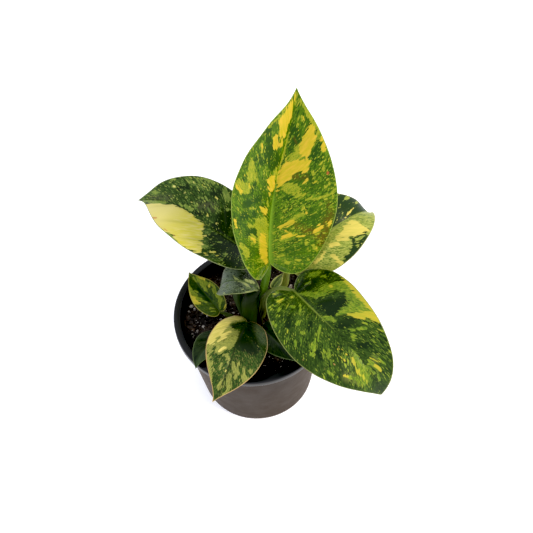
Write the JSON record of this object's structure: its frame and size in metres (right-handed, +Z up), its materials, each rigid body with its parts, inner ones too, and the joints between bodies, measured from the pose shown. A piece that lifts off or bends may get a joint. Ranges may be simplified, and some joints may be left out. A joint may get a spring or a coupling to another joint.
{
  "type": "potted variegated philodendron",
  "caption": "Young aroid house plant with broad heart-shaped variegated leaves on short petioles, standing in a round tapered nursery pot of potting mix.",
  "frame": {"origin": "centre of the pot's base, on the surface that it stands on", "axes": "+Z up along the pot's axis; -Y towards the front, where the lowest of the large leaves hangs; +X to the right seen from the front"},
  "size_m": [0.1656, 0.1626, 0.2358],
  "materials": {
    "pot_plastic": "satin black moulded plastic",
    "potting_mix": "rough crumbly potting mix",
    "stem": "matte stem skin",
    "leaf_tall": "waxy leaf, green with yellow patches",
    "leaf_left": "waxy leaf, dark green with a cream sector",
    "leaf_back": "waxy leaf, half dark and half pale green",
    "leaf_front": "waxy leaf, dark green with lime flecks",
    "leaf_silver": "waxy leaf with a grey sheen",
    "leaf_low_front": "waxy leaf, dark green and cream",
    "leaf_low_left": "waxy leaf, dark green and yellow",
    "leaf_low_dark": "waxy dark green leaf",
    "leaf_low_right": "waxy dark green leaf",
    "cataphyll": "dry papery bract"
  },
  "bodies": {
    "root": {"pot": "pot_plastic", "potting_mix": "potting_mix", "stem": "stem", "leaf_tall": "leaf_tall", "leaf_left": "leaf_left", "leaf_back": "leaf_back", "leaf_front": "leaf_front", "leaf_silver": "leaf_silver", "leaf_low_front": "leaf_low_front", "leaf_low_left": "leaf_low_left", "leaf_low_dark": "leaf_low_dark", "leaf_low_right": "leaf_low_right", "cataphyll": "cataphyll"}
  },
  "joints": []
}
